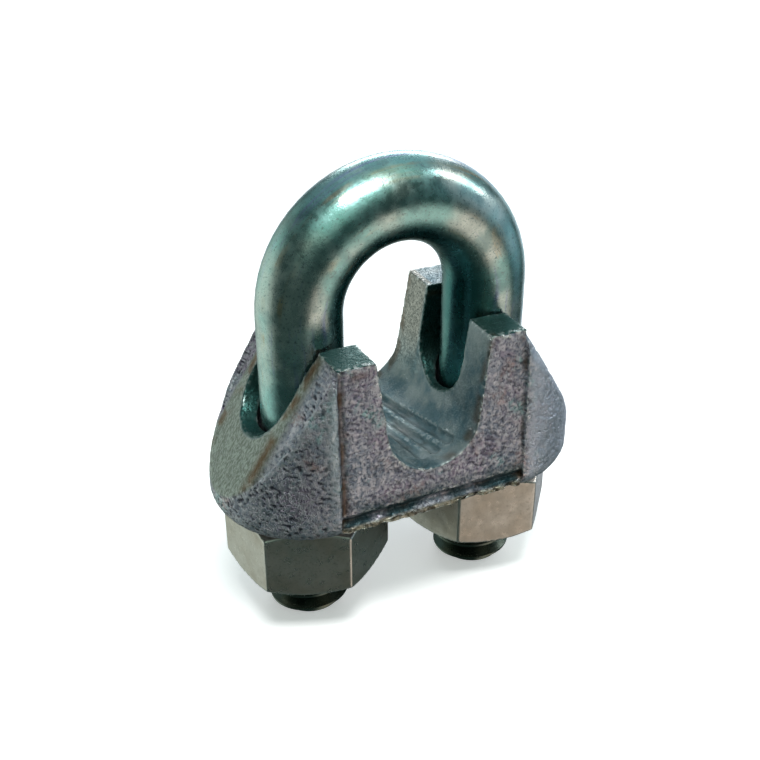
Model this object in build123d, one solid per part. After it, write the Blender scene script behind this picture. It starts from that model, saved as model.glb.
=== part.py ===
from build123d import *
import math
import os

# Wire rope clip for 3/16 in (5 mm) rope: a U-bolt, a cast saddle and two hex nuts.
# Millimetres. The origin is on the axis of the rope seat, half way through the saddle.
# +X runs from the left leg to the right leg, +Y along the rope, +Z towards the bow.

# U-bolt
ROD_D = 6.2               # shank and bow
LEG_SPACING = 14.8        # centre to centre
BOW_Z = 7.2               # centre of the bow, where the legs begin
LEG_LENGTH = 25.0         # bow centre to leg end
THREAD_LENGTH = 13.0
LEG_END_CHAMFER = 0.6

# Thread, 1/4-20 UNC with a plated fit
PITCH = 1.27
THREAD_D = 6.32           # over the crests of the leg
CORE_D = 4.78             # at the roots of the leg
CREST_WIDTH = 0.18
FLANK_ANGLE = 30.0        # each side
THREAD_GAP = 0.09         # between leg thread and nut thread, measured along the radius
RIDGE_SUNK = 0.12         # how far the helical ridge is sunk into its core
WIDEST_FOOT = 0.47        # of the pitch, on each side of the ridge

# Hex nut
NUT_AF = 11.0
NUT_HEIGHT = 5.56
NUT_CHAMFER_ANGLE = 30.0
NUT_SEAT_GAP = 0.05       # between nut and saddle, so that the nut turns freely
COUNTERSINK = 0.15        # beyond the thread's root, at both faces
LEFT_NUT_TURN = -81.0     # degrees about its leg, as tightened
RIGHT_NUT_TURN = -70.0

# Saddle
TOWER_TOP_Z = 5.7
BOSS_BOTTOM_Z = -7.9
WEB_BOTTOM_Z = -7.4
WEB_TOP_HALF = 6.5        # half the depth along the rope at the tower tops
WEB_BOTTOM_HALF = 7.1     # the same at the underside
BOSS_TOP_R = 6.85         # half-round end bosses, centred on the legs
BOSS_BOTTOM_R = 7.3
BOSS_EDGE_R = 1.6
SHOULDER_SLOPE = 57.0     # degrees below level, from the tower tops to the noses
SHOULDER_EDGE_R = 1.2
COVE_DEPTH = 0.45         # hollow along the foot of the web, above a thin lip
COVE_HEIGHT = 1.1
LIP_HEIGHT = 0.5
SEAT_R = 3.6              # bottom of the rope channel
CHANNEL_FLANK = 8.0       # degrees from upright
NOTCH_HALF = 3.2          # half the width of the slot that the legs stand in
NOTCH_BOTTOM_Z = -1.25
LEG_HOLE_R = 3.3
GROOVE_COUNT = 3          # between the cast ribs that follow the lay of the rope
GROOVE_PITCH = 1.3        # round the seat
GROOVE_DEPTH = 0.25
GROOVE_R = 0.5
GROOVE_HALF_LENGTH = 5.0
LAY_ANGLE = 11.0          # degrees between the ribs and the rope

CLEAR = 1.0               # how far a cut runs past the face where it comes out
REACH = 20.0              # longer than the saddle each way, for cuts that go right through

LEG_X = LEG_SPACING / 2
ROD_R = ROD_D / 2
LEG_END_Z = BOW_Z - LEG_LENGTH
THREAD_TOP_Z = LEG_END_Z + THREAD_LENGTH
NUT_TOP_Z = BOSS_BOTTOM_Z - NUT_SEAT_GAP
NUT_BOTTOM_Z = NUT_TOP_Z - NUT_HEIGHT
FROM_BASE = (Align.CENTER, Align.CENTER, Align.MIN)


def rod(radius, bottom, top, x=0.0):
    """Upright cylinder at x, between two heights."""
    return Pos(x, 0, bottom) * Cylinder(radius, top - bottom, align=FROM_BASE)


def thread_ridge(root_r, crest_r, crest_width, bottom, top):
    """Helical ridge with straight flanks. Its phase depends on height alone, so a leg
    and its nut are always in step."""
    turns_below = math.ceil((bottom - LEG_END_Z) / PITCH)
    start = LEG_END_Z + turns_below * PITCH
    path = Helix(pitch=PITCH, height=top - start, radius=root_r, center=(0, 0, start))
    flank = math.tan(math.radians(FLANK_ANGLE))
    crest = crest_width / 2
    foot = min(crest + (crest_r - root_r + RIDGE_SUNK) * flank, PITCH * WIDEST_FOOT)
    section = Plane(origin=path @ 0, x_dir=(1, 0, 0), z_dir=path % 0) * Polygon(
        (-RIDGE_SUNK, -foot), (crest_r - root_r, -crest),
        (crest_r - root_r, crest), (-RIDGE_SUNK, foot), align=None,
    )
    return sweep(section, path=path, is_frenet=True)


def threaded_leg_end():
    """The thread at the end of one leg, on its own axis, with a chamfered tip."""
    core = rod(CORE_D / 2, LEG_END_Z, THREAD_TOP_Z)
    ridge_top = THREAD_TOP_Z + PITCH / 2
    ridge = thread_ridge(CORE_D / 2, THREAD_D / 2, CREST_WIDTH, LEG_END_Z - PITCH, ridge_top)
    limits = rod(THREAD_D / 2 + CLEAR, LEG_END_Z, THREAD_TOP_Z)
    limits = chamfer(limits.edges().sort_by(Axis.Z)[0], LEG_END_CHAMFER + CLEAR)
    return core + (ridge & limits)


def u_bolt():
    """Round rod bent to a half circle, with two straight legs threaded at their ends."""
    bow_path = ThreePointArc((-LEG_X, 0, BOW_Z), (0, 0, BOW_Z + LEG_X), (LEG_X, 0, BOW_Z))
    body = sweep(Plane(origin=(-LEG_X, 0, BOW_Z), z_dir=(0, 0, 1)) * Circle(ROD_R), path=bow_path)
    for x in (-LEG_X, LEG_X):
        shank = rod(ROD_R, THREAD_TOP_Z, BOW_Z, x)
        shank = chamfer(shank.edges().sort_by(Axis.Z)[0], LEG_END_CHAMFER)
        body = body + (shank + Pos(x, 0, 0) * threaded_leg_end())
    return body


def web():
    """Middle of the saddle between the two legs, thicker towards its underside, with a
    hollow above the lip along each lower edge."""
    lip_top = WEB_BOTTOM_Z + LIP_HEIGHT
    front = [
        (WEB_BOTTOM_HALF, WEB_BOTTOM_Z), (WEB_BOTTOM_HALF, lip_top),
        (WEB_BOTTOM_HALF - COVE_DEPTH, lip_top + COVE_DEPTH), (WEB_BOTTOM_HALF, lip_top + COVE_HEIGHT),
        (WEB_TOP_HALF, TOWER_TOP_Z),
    ]
    back = [(-y, z) for y, z in reversed(front)]
    return extrude(Plane.YZ * Polygon(*front, *back, align=None), amount=LEG_X, both=True)


def shoulder_cut(side):
    """Everything above the shoulder that slopes from the tower tops down to one nose."""
    drop = REACH * math.tan(math.radians(SHOULDER_SLOPE))
    outline = Polygon(
        (side * LEG_X, TOWER_TOP_Z), (side * (LEG_X + REACH), TOWER_TOP_Z - drop),
        (side * (LEG_X + REACH), TOWER_TOP_Z + CLEAR), (side * LEG_X, TOWER_TOP_Z + CLEAR), align=None,
    )
    return extrude(Plane.XZ * outline, amount=REACH, both=True)


def boss(side):
    """Half-round end of the saddle round one leg, wider at the bottom, with a sloping
    shoulder and soft edges."""
    height = TOWER_TOP_Z - BOSS_BOTTOM_Z
    cone = Pos(side * LEG_X, 0, BOSS_BOTTOM_Z) * Cone(BOSS_BOTTOM_R, BOSS_TOP_R, height, align=FROM_BASE)
    cone = fillet(cone.edges().sort_by(Axis.Z)[0], BOSS_EDGE_R)
    inner_half = Pos(side * (LEG_X - BOSS_BOTTOM_R), 0, BOSS_BOTTOM_Z + height / 2) * Box(
        2 * BOSS_BOTTOM_R, 4 * BOSS_BOTTOM_R, height + 2 * CLEAR
    )
    body = cone - inner_half - shoulder_cut(side)
    rim = body.edges().filter_by(GeomType.ELLIPSE)
    body = fillet(rim, SHOULDER_EDGE_R)
    underside = rod(BOSS_BOTTOM_R - BOSS_EDGE_R, BOSS_BOTTOM_Z, WEB_BOTTOM_Z + CLEAR, side * LEG_X)
    return body + underside


def rope_channel():
    """The channel that the rope lies in: a round seat with sides that open slightly."""
    flank = math.radians(CHANNEL_FLANK)
    touch = (SEAT_R * math.cos(flank), -SEAT_R * math.sin(flank))
    top = TOWER_TOP_Z + CLEAR
    top_half = touch[0] + (top - touch[1]) * math.tan(flank)
    seat = ThreePointArc((-touch[0], touch[1]), (0, -SEAT_R), touch)
    sides = Polyline(touch, (top_half, top), (-top_half, top), (-touch[0], touch[1]))
    return extrude(Plane.XZ * make_face(seat + sides), amount=REACH, both=True)


def lay_grooves():
    """Slanting round-ended grooves in the seat, which leave ribs that grip between the
    strands."""
    path_r = SEAT_R + GROOVE_DEPTH - GROOVE_R
    drift = GROOVE_HALF_LENGTH * math.tan(math.radians(LAY_ANGLE))
    cuts = []
    for i in range(GROOVE_COUNT):
        middle = (i - (GROOVE_COUNT - 1) / 2) * GROOVE_PITCH
        points = []
        for share in (-1, 0, 1):
            angle = (middle - share * drift) / SEAT_R
            points.append(
                (path_r * math.sin(angle), share * GROOVE_HALF_LENGTH, -path_r * math.cos(angle))
            )
        path = ThreePointArc(*points)
        cuts.append(sweep(Plane(origin=path @ 0, z_dir=path % 0) * Circle(GROOVE_R), path=path))
        cuts += [Pos(*points[0]) * Sphere(GROOVE_R), Pos(*points[2]) * Sphere(GROOVE_R)]
    return cuts


def leg_notch():
    """Round-bottomed slot along X that the legs stand in. It crosses the rope channel."""
    centre_z = NOTCH_BOTTOM_Z + NOTCH_HALF
    top = TOWER_TOP_Z + CLEAR
    outline = Pos(0, centre_z) * Circle(NOTCH_HALF) + Pos(0, (centre_z + top) / 2) * Rectangle(
        2 * NOTCH_HALF, top - centre_z
    )
    return extrude(Plane.YZ * outline, amount=REACH, both=True)


def saddle():
    """Cast saddle: a web and two half-round bosses, cut by the rope channel, the leg
    notch and two leg holes, which leaves four towers."""
    body = web()
    for side in (-1, 1):
        body = body + boss(side)
    for side in (-1, 1):
        body = body - rod(LEG_HOLE_R, BOSS_BOTTOM_Z - CLEAR, TOWER_TOP_Z, side * LEG_X)
    body = body - rope_channel() - leg_notch()
    return body - lay_grooves()


def nut(side, turn):
    """Hex nut with both faces chamfered, on one leg and turned about it by an angle."""
    middle_z = (NUT_TOP_Z + NUT_BOTTOM_Z) / 2
    across_corners = NUT_AF / math.cos(math.radians(30))
    corner_drop = (across_corners - NUT_AF) / 2 * math.tan(math.radians(NUT_CHAMFER_ANGLE))
    hexagon = RegularPolygon(across_corners / 2, 6)
    blank = Pos(0, 0, NUT_BOTTOM_Z) * Rot(0, 0, turn) * extrude(hexagon, amount=NUT_HEIGHT)
    turned = rod(across_corners / 2, NUT_BOTTOM_Z, NUT_TOP_Z)
    ends = turned.edges().filter_by(GeomType.CIRCLE)
    turned = chamfer(ends, corner_drop, (across_corners - NUT_AF) / 2)
    bore_r = CORE_D / 2 + THREAD_GAP
    root_r = THREAD_D / 2 + THREAD_GAP
    body = (blank & turned) - rod(bore_r, NUT_BOTTOM_Z - CLEAR, NUT_TOP_Z + CLEAR)
    groove_crest = CREST_WIDTH + 2 * THREAD_GAP
    groove = thread_ridge(bore_r, root_r, groove_crest, NUT_BOTTOM_Z - PITCH, NUT_TOP_Z + PITCH)
    body = body - (groove & rod(root_r + CLEAR, NUT_BOTTOM_Z, NUT_TOP_Z))
    countersink = Cone(root_r + COUNTERSINK, bore_r, root_r + COUNTERSINK - bore_r, align=FROM_BASE)
    body = body - Pos(0, 0, NUT_BOTTOM_Z) * countersink
    body = body - Pos(0, 0, NUT_TOP_Z) * Rot(180, 0, 0) * countersink
    return Pos(side * LEG_X, 0, 0) * body


os.makedirs("parts", exist_ok=True)
pieces = {
    "u_bolt": u_bolt(),
    "saddle": saddle(),
    "nut_left": nut(-1, LEFT_NUT_TURN),
    "nut_right": nut(1, RIGHT_NUT_TURN),
}
for name, piece in pieces.items():
    export_step(piece, f"parts/{name}.step")
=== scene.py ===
import math
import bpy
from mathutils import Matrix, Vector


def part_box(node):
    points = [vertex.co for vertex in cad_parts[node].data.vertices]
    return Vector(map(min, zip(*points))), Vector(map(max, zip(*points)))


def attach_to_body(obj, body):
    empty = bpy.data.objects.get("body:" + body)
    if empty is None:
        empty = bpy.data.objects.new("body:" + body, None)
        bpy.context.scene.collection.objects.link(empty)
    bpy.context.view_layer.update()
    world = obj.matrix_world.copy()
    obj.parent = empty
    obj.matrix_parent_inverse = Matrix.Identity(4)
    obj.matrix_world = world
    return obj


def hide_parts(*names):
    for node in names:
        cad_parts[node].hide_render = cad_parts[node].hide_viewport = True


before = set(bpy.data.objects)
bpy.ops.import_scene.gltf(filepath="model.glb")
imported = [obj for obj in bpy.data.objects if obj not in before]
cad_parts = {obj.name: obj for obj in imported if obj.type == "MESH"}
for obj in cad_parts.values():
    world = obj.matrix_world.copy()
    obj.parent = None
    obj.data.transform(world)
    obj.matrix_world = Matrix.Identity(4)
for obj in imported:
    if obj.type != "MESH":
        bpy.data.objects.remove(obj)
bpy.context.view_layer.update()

from types import SimpleNamespace

import bpy
import numpy as np
from mathutils import Matrix, Vector, noise

# Wire rope clip on a plain pale floor. Lengths are millimetres unless a name says otherwise.
MM = 0.001

CAMERA_PLACE = Vector((-31.5, -64.0, 40.3))
CAMERA_TARGET = Vector((-2.76, -3.41, 2.48))
CAMERA_LENS = 51.4
CAMERA_SENSOR = 36.0

# The part's own features, as in the design
SEAT_R = 3.6
CHANNEL_FLANK = math.radians(8.0)
NOTCH_HALF = 3.2
NOTCH_BOTTOM_Z = -1.25
LEG_X = 7.4
BOW_Z = 7.2
THREAD_TOP_Z = -4.8
SHOULDER_SLOPE = math.radians(57.0)
WEB_TOP_HALF = 6.5
LIP_TOP = 1.1              # above the saddle's lowest point, like the two below
COVE_FROM = 0.9
COVE_TO = 3.5

SADDLE_VOXEL = 0.1
NUT_VOXEL = 0.1
FLOOR_HALF = 1.5           # metres

# Shape of the skins: depths in from the CAD faces, and heights out from them
CAST_SUNK = 0.09           # leaves room for the lumps
SMOOTH_SUNK = 0.02         # in the rope channel, the notch and on the nuts
PIT_DEPTH = 0.05
CREASE_DEPTH = 0.12        # where the web meets a boss
SWELL_HEIGHT = 0.08        # beside the crease
CHIP_DEPTH = 0.08
LIP_BREAK_DEPTH = 0.28
SHOULDER_FALL = 0.5        # at the front and back of a shoulder
EDGE_HEIGHT = 0.05         # how far a full edge stands out of its surroundings

# Colours
LILAC, SLATE = (0.40, 0.34, 0.43), (0.32, 0.35, 0.42)
PINK, CYAN = (0.48, 0.36, 0.36), (0.36, 0.52, 0.54)
PALE_LILAC, SWELL_HIGHLIGHT_GREY, BRIGHT_LILAC = (0.60, 0.58, 0.63), (0.56, 0.66, 0.70), (0.70, 0.73, 0.83)
SPECK_DARK, PIT_SHADE = (0.08, 0.07, 0.11), (0.02, 0.018, 0.035)
DARK_OLIVE, OLIVE = (0.17, 0.19, 0.16), (0.36, 0.40, 0.37)
# The two teals below are painted shade: the cove band above the lip, and the leg notch with the front
# tower tops
COVE_SHADE_TEAL, NOTCH_SHADE_TEAL = (0.02, 0.07, 0.08), (0.015, 0.075, 0.065)
GRIME, CREAM = (0.10, 0.085, 0.06), (0.50, 0.46, 0.36)
BROWN, RUST = (0.10, 0.07, 0.05), (0.13, 0.065, 0.025)
HOLLOW_DARK, HOLLOW_PALE, SAND = (0.14, 0.22, 0.25), (0.36, 0.41, 0.42), (0.46, 0.41, 0.36)
WORN_WHITE_AND_GLINT = (0.93, 0.96, 0.94)
ROD_TEAL, ROD_PALE, ROD_STRAW = (0.30, 0.54, 0.52), (0.55, 0.62, 0.58), (0.50, 0.45, 0.33)
ROD_BLUE, ROD_DULL, ROD_GRAIN = (0.34, 0.40, 0.58), (0.19, 0.32, 0.32), (0.22, 0.30, 0.30)
ROD_INNER_SHADE, THREAD_DARK = (0.035, 0.17, 0.165), (0.10, 0.11, 0.085)
NUT_BROWN, NUT_GREY, NUT_SPECK, NUT_EDGE = (
    (0.42, 0.37, 0.31), (0.52, 0.48, 0.43), (0.37, 0.335, 0.285), (0.72, 0.71, 0.67)
)
FLOOR_SHADES = (0.90, 0.90, 0.90), (0.93, 0.93, 0.93)

ROOM_COLOUR = (0.045, 0.075, 0.07)
ROOM_PATCHES = (   # azimuth, elevation, half-width in degrees, colour
    (150, 55, 60, (0.42, 0.56, 0.60)),
    (-26, 50, 38, (0.56, 0.78, 0.66)),
    (-137, -15, 50, (0.80, 0.92, 0.84)),
    (146, -14, 40, (0.98, 1.08, 1.20)),
    (27, -32, 30, (0.97, 0.88, 0.78)),
    (75, 8, 38, (0.42, 0.56, 0.64)),
    (40, 78, 32, (0.55, 0.72, 0.60)),
)
LIGHT_TARGET = Vector((0, 0, 2))


SADDLE_LOW, SADDLE_HIGH = (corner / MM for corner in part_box("saddle"))
FLOOR_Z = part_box("u_bolt")[0].z / MM


# ---------------------------------------------------------------- shapes

def settle(piece):
    """Applies the piece's modifiers to its mesh."""
    evaluated = piece.evaluated_get(bpy.context.evaluated_depsgraph_get())
    mesh = bpy.data.meshes.new_from_object(evaluated)
    piece.modifiers.clear()
    piece.data = mesh


def even_copy(node, name, voxel):
    """A new piece with a CAD node's shape and an even, fine mesh, still in millimetres."""
    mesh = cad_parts[node].data.copy()
    mesh.transform(Matrix.Scale(1 / MM, 4))
    piece = bpy.data.objects.new(name, mesh)
    bpy.context.scene.collection.objects.link(piece)
    remesh = piece.modifiers.new("even", "REMESH")
    remesh.mode = "VOXEL"
    remesh.voxel_size = voxel
    settle(piece)
    return piece


def places(mesh):
    """Vertex places as an array."""
    values = np.empty(len(mesh.vertices) * 3, np.float32)
    mesh.vertices.foreach_get("co", values)
    return values.reshape(-1, 3).astype(float)


def directions(mesh):
    """Vertex normals as an array."""
    values = np.empty(len(mesh.vertices) * 3, np.float32)
    mesh.vertex_normals.foreach_get("vector", values)
    return values.reshape(-1, 3).astype(float)


def smooth(piece, rounds):
    """Rounds the piece's edges over."""
    modifier = piece.modifiers.new("soft", "SMOOTH")
    modifier.factor = 0.5
    modifier.iterations = rounds
    settle(piece)


def soften(piece, rounds, far_rounds):
    """Rounds the edges over and returns how much each vertex is an edge, about 1 on a
    sharp one and below 0 in a corner."""
    smooth(piece, rounds)
    near = places(piece.data)
    out = directions(piece.data)
    kept = piece.data.copy()
    smooth(piece, far_rounds)
    far = places(piece.data)
    piece.data = kept
    return ((near - far) * out).sum(1) / EDGE_HEIGHT


def perlin(points, cell, seed):
    """Gradient noise, about -1 to 1, with features of about one cell."""
    shifted = points / cell + np.array([seed * 17.3, seed * 5.1, seed * 29.7])
    return np.array([noise.noise(p) for p in shifted])


def step(low, high, values):
    """0 at low and 1 at high, smooth between. With high below low it falls instead."""
    t = np.clip((values - low) / (high - low), 0, 1)
    return t * t * (3 - 2 * t)


def paint(piece, **amounts):
    """Stores numbers for each vertex, 0 to 1, for a material to read."""
    for name, values in amounts.items():
        attribute = piece.data.attributes.new(name, "FLOAT", "POINT")
        attribute.data.foreach_set("value", np.clip(values, 0, 1).astype(np.float32))


def finish_shape(piece, points):
    """Gives the piece its last vertex places, in metres."""
    mesh = piece.data
    mesh.vertices.foreach_set("co", (points * MM).astype(np.float32).ravel())
    mesh.shade_smooth()
    mesh.update()


def channel_depth(x, z):
    """How far points lie inside the rope channel's outline, below 0 in the metal."""
    round_part = SEAT_R - np.hypot(x, z)
    flank = SEAT_R + z * math.sin(CHANNEL_FLANK) - np.abs(x) * math.cos(CHANNEL_FLANK)
    return np.where(z < -SEAT_R * math.sin(CHANNEL_FLANK), round_part, flank)


def notch_depth(y, z):
    """How far points lie inside the leg notch's outline, below 0 in the metal."""
    centre_z = NOTCH_BOTTOM_Z + NOTCH_HALF
    return NOTCH_HALF - np.hypot(y, np.minimum(z - centre_z, 0))


def ridge(values, middle, width):
    """1 at the middle, falling smoothly to 0 over about twice the width each way."""
    return np.exp(-((values - middle) / width) ** 2)


def attach(piece, node):
    """Makes the piece the visible shape of a CAD node, on the body of the same name."""
    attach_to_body(piece, node)
    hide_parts(node)


def saddle_regions(points, out):
    """How much each vertex of the saddle belongs to each of its regions, 0 to 1."""
    x, y, z = points.T
    side, deep, below = np.abs(x), np.abs(y), z - SADDLE_LOW.z
    on = SimpleNamespace()
    on.front_or_back = step(0.75, 0.95, np.abs(out[:, 1]))
    on.channel = step(-0.6, -0.4, channel_depth(x, z)) * (1 - on.front_or_back)
    on.notch = step(-0.25, -0.05, notch_depth(y, z))
    on.inside = np.maximum(on.channel, on.notch)
    on.top = step(0.8, 0.95, out[:, 2]) * step(-1.0, -0.5, z - SADDLE_HIGH.z)

    along_slope = np.abs(out[:, 0]) * math.sin(SHOULDER_SLOPE) + out[:, 2] * math.cos(SHOULDER_SLOPE)
    on.slope = step(0.88, 0.97, along_slope) * (1 - on.inside)
    on.shoulder = on.slope * (1 - step(4.0, 4.8, deep))
    on.rough = (1 - on.inside) * (1 - 0.8 * on.top) * (1 - 0.75 * on.shoulder)
    on.right_boss = step(0.0, 0.8, x - LEG_X) * step(0.0, 1.0, -y)
    on.web = step(0.1, -0.3, side - LEG_X)

    upright = on.front_or_back * step(-0.1, 0.1, below - 0.6)
    clear_mark = np.where((x < 0) == (y < 0), 1.0, 0.1)
    on.crease = ridge(side, LEG_X - 0.25, 0.24) * upright * clear_mark
    on.swell = ridge(side, LEG_X + 0.4, 0.5) * upright * clear_mark

    web_outside = step(-0.3, 0.1, LEG_X - 0.1 - side) * (1 - on.inside)
    on.lip = step(-0.1, 0.1, LIP_TOP - below) * step(-0.5, -0.3, deep - SADDLE_HIGH.y) * web_outside
    on.cove = step(COVE_FROM, COVE_FROM + 0.3, below) * step(COVE_TO, COVE_TO - 1.7, below) * web_outside
    return on


def cast_pits(points):
    """Small slanting pits, in patches."""
    skewed = points @ np.array([[1.0, 0.0, 0.5], [0.0, 1.0, 0.0], [-0.5, 0.0, 1.0]])
    single = step(0.10, 0.40, perlin(skewed * (0.6, 1, 1.3), 0.27, 3))
    return single * step(-0.5, 0.1, perlin(points, 1.6, 4))


def rust_marks(points, on):
    """Brown marks: along the notch and the shoulders, under the tower tops, at the right
    of the channel's mouths and in the creases."""
    x, y, z = points.T
    side, deep = np.abs(x), np.abs(y)
    patchy = step(-0.35, 0.15, perlin(points, 1.1, 10))
    rim = ridge(deep, NOTCH_HALF + 0.55, 0.5) * step(-0.5, 0.5, side - LEG_X) * on.slope
    under_top = ridge(z, SADDLE_HIGH.z - 0.7, 0.3) * on.front_or_back
    mouth = on.channel * step(-0.9, -0.2, deep - WEB_TOP_HALF) * step(0.5, 1.5, x)
    marks = np.maximum(rim, np.maximum(0.6 * under_top, 0.7 * mouth)) * patchy
    return np.maximum(marks, on.crease * (0.5 + 0.5 * patchy))


def cast_saddle():
    """The saddle with its cast skin: soft edges, a wavy surface and pits outside, and a
    smoother finish in the rope channel and the leg notch."""
    piece = even_copy("saddle", "saddle_casting", SADDLE_VOXEL)
    edge = soften(piece, 6, 24)
    points = places(piece.data)
    out = directions(piece.data)
    x, y, z = points.T
    deep = np.abs(y)
    on = saddle_regions(points, out)

    waves = perlin(points, 3.4, 1) * 0.06 + perlin(points, 1.3, 2) * 0.04
    lumps = perlin(points, 0.6, 5) * 0.03
    pits = cast_pits(points)
    chips = np.clip(edge, 0, 1) * step(0.0, 0.5, perlin(points, 0.9, 8))
    broken = on.lip * step(-0.1, 0.5, perlin(points * (1, 1, 0.4), 1.0, 9))
    marked = CREASE_DEPTH * on.crease - SWELL_HEIGHT * on.swell
    depth = on.rough * (CAST_SUNK - waves + PIT_DEPTH * pits - lumps + marked)
    depth += on.inside * (SMOOTH_SUNK - 0.3 * waves) + CHIP_DEPTH * chips + LIP_BREAK_DEPTH * broken
    depth += SHOULDER_FALL * on.slope * step(3.6, 6.4, deep)
    finish_shape(piece, points - out * depth[:, None])

    beyond_notch = step(NOTCH_HALF, NOTCH_HALF + 0.5, y) * step(-2.0, 2.0, z) * step(0.5, 2.0, x)
    # A painted highlight: a glint along the front edge of each tower top, brighter at the right
    front_top_glint = ridge(deep, WEB_TOP_HALF - 0.15, 0.28) * ridge(z, SADDLE_HIGH.z - 0.15, 0.25) * (y < 0)
    cove_shade_patches = step(-0.6, 0.1, perlin(points * (1, 1, 1.5), 1.8, 12))
    paint(
        piece,
        # pit: painted shade, the pits painted near black over their shallow dents
        pit=pits * on.rough * (1 - 0.7 * on.right_boss) * (1 - 0.45 * on.web),
        smooth=on.right_boss * (1 - on.inside),
        inside=np.maximum(on.inside, 0.9 * on.top),
        hidden=on.notch,
        # notch: painted shade, dark teal in the leg notch and on the tops of the front towers
        notch=np.maximum(on.notch, np.where(y < 0, 1.0, 0.1) * on.top),
        shoulder=on.shoulder,
        # edge: worn edges, plus the painted glint on the front tower tops
        edge=np.maximum(edge, front_top_glint * np.where(x > 0, 1.0, 0.7)),
        # corner: brown dirt and painted shade in the concave corners
        corner=-edge,
        rust=rust_marks(points, on),
        warm=on.channel * beyond_notch,
        # swell: a painted highlight on the ridge beside each crease, stronger higher up
        swell=on.swell * (0.3 + 0.7 * step(-5.0, 0.0, z)),
        # cove: painted shade, a dark teal band above the lip where the underside faces down
        cove=on.cove * cove_shade_patches,
        lip=on.lip,
    )
    attach(piece, "saddle")
    return piece


def soft_nut(node):
    """A nut with slightly rounded edges and faces that aren't quite flat."""
    piece = even_copy(node, node + "_forged", NUT_VOXEL)
    edge = soften(piece, 3, 14)
    points = places(piece.data)
    out = directions(piece.data)
    dents = perlin(points, 2.2, 6) * 0.02 + perlin(points, 0.7, 7) * 0.008
    finish_shape(piece, points - out * (SMOOTH_SUNK + dents)[:, None])
    paint(piece, edge=edge)
    attach(piece, node)
    return piece


# ---------------------------------------------------------------- materials

class Shader:
    """A material's node tree, with short calls that add a node and return its output."""

    def __init__(self, name):
        self.material = bpy.data.materials.new(name)
        self.material.use_nodes = True
        self.nodes = self.material.node_tree.nodes
        self.links = self.material.node_tree.links
        self.surface = self.nodes["Principled BSDF"]
        self.place = self.add("ShaderNodeTexCoord").outputs["Object"]

    def add(self, kind, **settings):
        made = self.nodes.new(kind)
        for name, value in settings.items():
            setattr(made, name, value)
        return made

    def put(self, value, socket):
        """Links an output to a socket, or sets a plain value on it."""
        if isinstance(value, bpy.types.NodeSocket):
            self.links.new(value, socket)
        else:
            socket.default_value = value

    def stretched(self, scale, place=None):
        """A place in millimetres, or the object's own, times a scale along each axis."""
        mapping = self.add("ShaderNodeMapping")
        self.links.new(place or self.place, mapping.inputs["Vector"])
        mapping.inputs["Scale"].default_value = [along / MM for along in scale]
        return mapping.outputs["Vector"]

    def noise(self, size, detail, rough=0.5, stretch=(1, 1, 1), seed=0.0, place=None):
        """Noise, 0 to 1, with features of about the given size in millimetres."""
        made = self.add("ShaderNodeTexNoise", noise_dimensions="4D")
        scale = [along / size for along in stretch]
        self.links.new(self.stretched(scale, place), made.inputs["Vector"])
        made.inputs["W"].default_value = seed
        made.inputs["Scale"].default_value = 1.0
        made.inputs["Detail"].default_value = detail
        made.inputs["Roughness"].default_value = rough
        return made.outputs["Fac"]

    def attribute(self, name):
        return self.add("ShaderNodeAttribute", attribute_name=name).outputs["Fac"]

    def math(self, operation, first, second=0.5):
        made = self.add("ShaderNodeMath", operation=operation)
        self.put(first, made.inputs[0])
        self.put(second, made.inputs[1])
        return made.outputs[0]

    def ramp(self, value, low, high, out_low=0.0, out_high=1.0):
        """Takes low..high to out_low..out_high, smooth and clamped."""
        made = self.add("ShaderNodeMapRange", interpolation_type="SMOOTHSTEP")
        self.put(value, made.inputs["Value"])
        limits = {"From Min": low, "From Max": high, "To Min": out_low, "To Max": out_high}
        for name, number in limits.items():
            made.inputs[name].default_value = number
        return made.outputs["Result"]

    def mix(self, share, first, second):
        """Mixes two colours."""
        made = self.add("ShaderNodeMix", data_type="RGBA")
        self.put(share, made.inputs["Factor"])
        for value, socket in ((first, made.inputs[6]), (second, made.inputs[7])):
            self.put(value if isinstance(value, bpy.types.NodeSocket) else (*value, 1.0), socket)
        return made.outputs[2]

    def tint(self, colour, name, amount, painted):
        """Mixes in a colour where the mesh is painted with an amount of it."""
        return self.mix(self.math("MULTIPLY", self.attribute(name), amount), colour, painted)

    def bump(self, height, distance, strength):
        made = self.add("ShaderNodeBump")
        self.put(height, made.inputs["Height"])
        made.inputs["Distance"].default_value = distance * MM
        made.inputs["Strength"].default_value = strength
        return made.outputs["Normal"]

    def finish(self, **sockets):
        for name, value in sockets.items():
            self.put(value, self.surface.inputs[name.replace("_", " ")])
        return self.material


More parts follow.
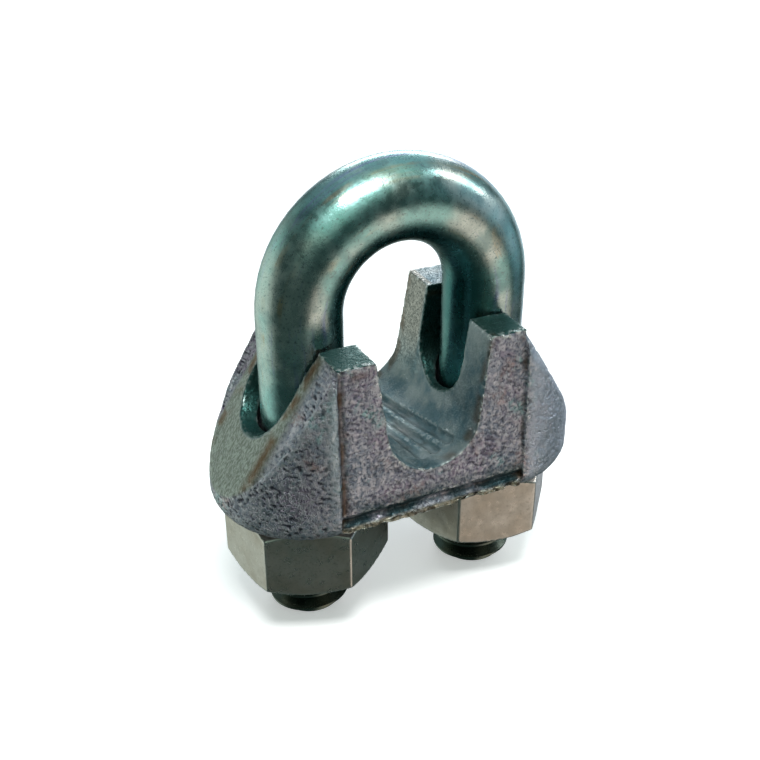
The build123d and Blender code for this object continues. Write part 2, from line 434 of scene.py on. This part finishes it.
def saddle_finish():
    """Zinc on a rough casting: lilac-grey skin, pits painted near black as painted shade, teal in the
    smooth hollows, painted shade in the leg notch, on the front tower tops and in the cove band,
    brown dirt and painted shade in the corners, painted highlights on the swells, and bright worn
    edges with painted glints."""
    s = Shader("cast_zinc")
    skin = s.mix(s.ramp(s.noise(4.5, 3, seed=1.0), 0.40, 0.60), LILAC, SLATE)
    skin = s.mix(s.ramp(s.noise(2.2, 3, seed=9.0), 0.55, 0.68), skin, PINK)
    skin = s.mix(s.ramp(s.noise(1.9, 3, seed=17.0), 0.58, 0.68), skin, CYAN)
    skin = s.mix(s.ramp(s.noise(0.35, 4, seed=2.0), 0.40, 0.62), skin, PALE_LILAC)
    speck = s.ramp(s.noise(0.17, 4, 0.65, stretch=(1, 1, 0.7), seed=8.0), 0.50, 0.60)
    skin = s.mix(s.math("MULTIPLY", speck, 0.55), skin, SPECK_DARK)
    # Painted shade: the pits are painted near black
    skin = s.tint(skin, "pit", 0.92, PIT_SHADE)
    skin = s.tint(skin, "smooth", 0.7, BRIGHT_LILAC)
    # Painted highlight: the swells beside the creases are painted pale grey
    skin = s.tint(skin, "swell", 0.7, SWELL_HIGHLIGHT_GREY)
    streaks = s.noise(0.16, 3, stretch=(1, 1, 0.15), seed=10.0)
    skin = s.tint(skin, "shoulder", 1.0, s.mix(s.ramp(streaks, 0.35, 0.65), DARK_OLIVE, OLIVE))
    # Painted shade: the dark teal cove band above the lip
    skin = s.tint(skin, "cove", 0.9, COVE_SHADE_TEAL)
    dirt = s.noise(0.6, 4, seed=18.0)
    skin = s.tint(skin, "lip", 1.0, s.mix(s.ramp(dirt, 0.42, 0.58), GRIME, CREAM))

    hollow = s.mix(s.ramp(s.noise(2.0, 4, seed=3.0), 0.35, 0.65), HOLLOW_DARK, HOLLOW_PALE)
    hollow = s.tint(hollow, "warm", 0.7, SAND)
    colour = s.tint(skin, "inside", 1.0, hollow)
    # Painted shade: dark teal in the leg notch and on the front tower tops
    colour = s.tint(colour, "notch", 0.92, NOTCH_SHADE_TEAL)
    # Brown in the concave corners: dirt and painted shade
    corner_dirt_and_shade = s.math("MULTIPLY", s.attribute("corner"), s.ramp(s.noise(1.5, 4, seed=4.0), 0.4, 0.6))
    colour = s.mix(corner_dirt_and_shade, colour, BROWN)
    colour = s.tint(colour, "rust", 0.85, RUST)
    # Edges painted near white: partly real wear and partly painted glints
    worn_and_glint = s.math("MULTIPLY", s.attribute("edge"), s.ramp(s.noise(0.4, 4, seed=5.0), 0.46, 0.60))
    worn_and_glint = s.math("MULTIPLY", worn_and_glint, s.ramp(s.attribute("hidden"), 0.0, 0.6, 1.0, 0.25))
    colour = s.mix(worn_and_glint, colour, WORN_WHITE_AND_GLINT)

    rough = s.ramp(s.noise(0.5, 4, seed=6.0), 0.3, 0.7, 0.28, 0.50)
    rough = s.math("SUBTRACT", rough, s.math("MULTIPLY", worn_and_glint, 0.12))
    height = s.math("SUBTRACT", s.noise(0.5, 5, 0.65, seed=7.0), s.math("MULTIPLY", speck, 0.6))
    return s.finish(
        Base_Color=colour, Metallic=0.95, Roughness=rough, Normal=s.bump(height, 0.09, 0.8)
    )


def rod_coordinates(s):
    """Coordinates that follow the bent rod, so that drawing marks run along it: how far
    out from the rod's axis in the plane of the bow, how far along Y, and a little of Z.
    Also gives the first of these on its own, and the height."""
    split = s.add("ShaderNodeSeparateXYZ")
    s.links.new(s.place, split.inputs[0])
    x, y, z = split.outputs
    above = s.math("MAXIMUM", s.math("SUBTRACT", z, BOW_Z * MM), 0.0)
    squares = s.math("ADD", s.math("MULTIPLY", x, x), s.math("MULTIPLY", above, above))
    outward = s.math("SUBTRACT", s.math("SQRT", squares), LEG_X * MM)
    joined = s.add("ShaderNodeCombineXYZ")
    for value, socket in zip((outward, y, s.math("MULTIPLY", z, 0.12)), joined.inputs):
        s.put(value, socket)
    return joined.outputs[0], outward, z


def bolt_finish():
    """Bright zinc on drawn rod: teal with straw-coloured and bluish drawing marks, painted shade
    on the side that faces the rope, and darker down the threads."""
    s = Shader("bright_zinc")
    along, outward, z = rod_coordinates(s)
    colour = s.mix(s.ramp(s.noise(5.0, 3, seed=11.0), 0.4, 0.6), ROD_TEAL, ROD_PALE)
    marks = s.noise(0.9, 4, 0.6, seed=16.0, place=along)
    patches = s.ramp(s.noise(2.6, 3, seed=19.0), 0.42, 0.60)
    straw = s.math("MULTIPLY", s.ramp(marks, 0.53, 0.68), patches)
    colour = s.mix(straw, colour, ROD_STRAW)
    colour = s.mix(s.ramp(marks, 0.44, 0.30), colour, ROD_BLUE)
    dull = s.math("MULTIPLY", s.ramp(s.noise(2.2, 4, 0.6, seed=12.0), 0.46, 0.64), 0.6)
    colour = s.mix(dull, colour, ROD_DULL)
    colour = s.mix(s.ramp(s.noise(0.16, 3, 0.6, seed=13.0), 0.54, 0.68), colour, ROD_GRAIN)
    # Painted shade on the inner side of the U, which faces the rope
    inner_shade = s.math("MULTIPLY", s.ramp(outward, -0.6 * MM, -2.2 * MM), 0.92)
    colour = s.mix(inner_shade, colour, ROD_INNER_SHADE)
    # Darker down the threads, towards the leg ends
    lower_threads_dark = s.math("MULTIPLY", s.ramp(z, THREAD_TOP_Z * MM, (THREAD_TOP_Z - 5) * MM), 0.9)
    colour = s.mix(lower_threads_dark, colour, THREAD_DARK)
    rough = s.ramp(s.noise(0.8, 4, seed=14.0), 0.3, 0.7, 0.20, 0.34)
    height = s.math("ADD", s.noise(0.25, 4, 0.6, seed=15.0), marks)
    return s.finish(
        Base_Color=colour, Metallic=1.0, Roughness=rough, Normal=s.bump(height, 0.02, 0.5)
    )


def nut_finish():
    """Duller, warmer zinc on forged hex nuts."""
    s = Shader("dull_zinc")
    colour = s.mix(s.ramp(s.noise(3.0, 3, seed=21.0), 0.35, 0.65), NUT_BROWN, NUT_GREY)
    colour = s.mix(s.ramp(s.noise(0.22, 4, seed=22.0), 0.50, 0.75), colour, NUT_SPECK)
    colour = s.tint(colour, "edge", 1.0, NUT_EDGE)
    rough = s.ramp(s.noise(0.6, 4, seed=23.0), 0.3, 0.7, 0.26, 0.38)
    grain = s.bump(s.noise(0.15, 4, 0.6, seed=24.0), 0.02, 0.3)
    return s.finish(Base_Color=colour, Metallic=0.95, Roughness=rough, Normal=grain)


def floor_finish():
    """Pale and slightly bright of itself, so that only soft shadows mark it."""
    s = Shader("pale_floor")
    colour = s.mix(s.ramp(s.noise(40.0, 2, seed=31.0), 0.3, 0.7), *FLOOR_SHADES)
    s.surface.inputs["Emission Color"].default_value = (1, 1, 1, 1)
    return s.finish(Base_Color=colour, Roughness=0.9, Emission_Strength=0.4)


def give(piece, material):
    piece.data.materials.clear()
    piece.data.materials.append(material)


# ---------------------------------------------------------------- camera, floor and light

def aim(thing, place, target):
    """Puts a camera or light at a place and turns it to look at a target, in millimetres."""
    thing.location = place * MM
    thing.rotation_euler = (target - place).to_track_quat("-Z", "Y").to_euler()


def camera():
    """A camera in front, to the left and above."""
    data = bpy.data.cameras.new("camera")
    data.lens = CAMERA_LENS
    data.sensor_width = CAMERA_SENSOR
    data.clip_start = 0.005
    thing = bpy.data.objects.new("camera", data)
    bpy.context.scene.collection.objects.link(thing)
    aim(thing, CAMERA_PLACE, CAMERA_TARGET)
    bpy.context.scene.camera = thing


def floor():
    """A wide pale floor that the legs stand on. The metal doesn't mirror it."""
    half = FLOOR_HALF
    mesh = bpy.data.meshes.new("floor")
    corners = [(-half, -half, 0), (half, -half, 0), (half, half, 0), (-half, half, 0)]
    mesh.from_pydata(corners, [], [(0, 1, 2, 3)])
    thing = bpy.data.objects.new("floor", mesh)
    thing.location.z = FLOOR_Z * MM
    bpy.context.scene.collection.objects.link(thing)
    give(thing, floor_finish())
    thing.visible_glossy = False


def bearing(azimuth, elevation):
    """Unit vector from the part. Azimuth 0 is in front, on the -Y side, and 90 is at +X."""
    a, e = math.radians(azimuth), math.radians(elevation)
    return Vector((math.sin(a) * math.cos(e), -math.cos(a) * math.cos(e), math.sin(e)))


def softbox(name, azimuth, elevation, distance, width, height, power):
    """A white rectangular light that faces the part. Power is in watts."""
    data = bpy.data.lights.new(name, "AREA")
    data.shape = "RECTANGLE"
    data.size, data.size_y = width * MM, height * MM
    data.energy = power
    thing = bpy.data.objects.new(name, data)
    bpy.context.scene.collection.objects.link(thing)
    aim(thing, distance * bearing(azimuth, elevation), LIGHT_TARGET)


def studio():
    """A dim teal room with soft bright patches, which the metal mirrors."""
    world = bpy.data.worlds.new("studio")
    bpy.context.scene.world = world
    world.use_nodes = True
    nodes, links = world.node_tree.nodes, world.node_tree.links
    way = nodes.new("ShaderNodeTexCoord").outputs["Generated"]
    room = None
    for azimuth, elevation, spread, colour in ROOM_PATCHES:
        dot = nodes.new("ShaderNodeVectorMath")
        dot.operation = "DOT_PRODUCT"
        links.new(way, dot.inputs[0])
        dot.inputs[1].default_value = bearing(azimuth, elevation)
        fade = nodes.new("ShaderNodeMapRange")
        fade.interpolation_type = "SMOOTHSTEP"
        fade.inputs["From Min"].default_value = math.cos(math.radians(spread))
        links.new(dot.outputs["Value"], fade.inputs["Value"])
        patch = nodes.new("ShaderNodeMix")
        patch.data_type = "RGBA"
        links.new(fade.outputs["Result"], patch.inputs["Factor"])
        patch.inputs[7].default_value = (*colour, 1)
        if room is None:
            patch.inputs[6].default_value = (*ROOM_COLOUR, 1)
        else:
            links.new(room, patch.inputs[6])
        room = patch.outputs[2]
    links.new(room, nodes["Background"].inputs["Color"])


def lights():
    """Key light high in front, rim light low behind, and a tall one at the right."""
    softbox("key_light", -20, 67, 330, 110, 70, 0.75)
    softbox("rim_light", 153, 20, 380, 260, 60, 0.35)
    softbox("side_light", 80, 35, 360, 60, 200, 0.25)
    studio()


camera()
floor()
lights()
give(cast_saddle(), saddle_finish())
give(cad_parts["u_bolt"], bolt_finish())
nut_material = nut_finish()
for node in ("nut_left", "nut_right"):
    give(soft_nut(node), nut_material)
bpy.context.scene.view_settings.view_transform = "Standard"
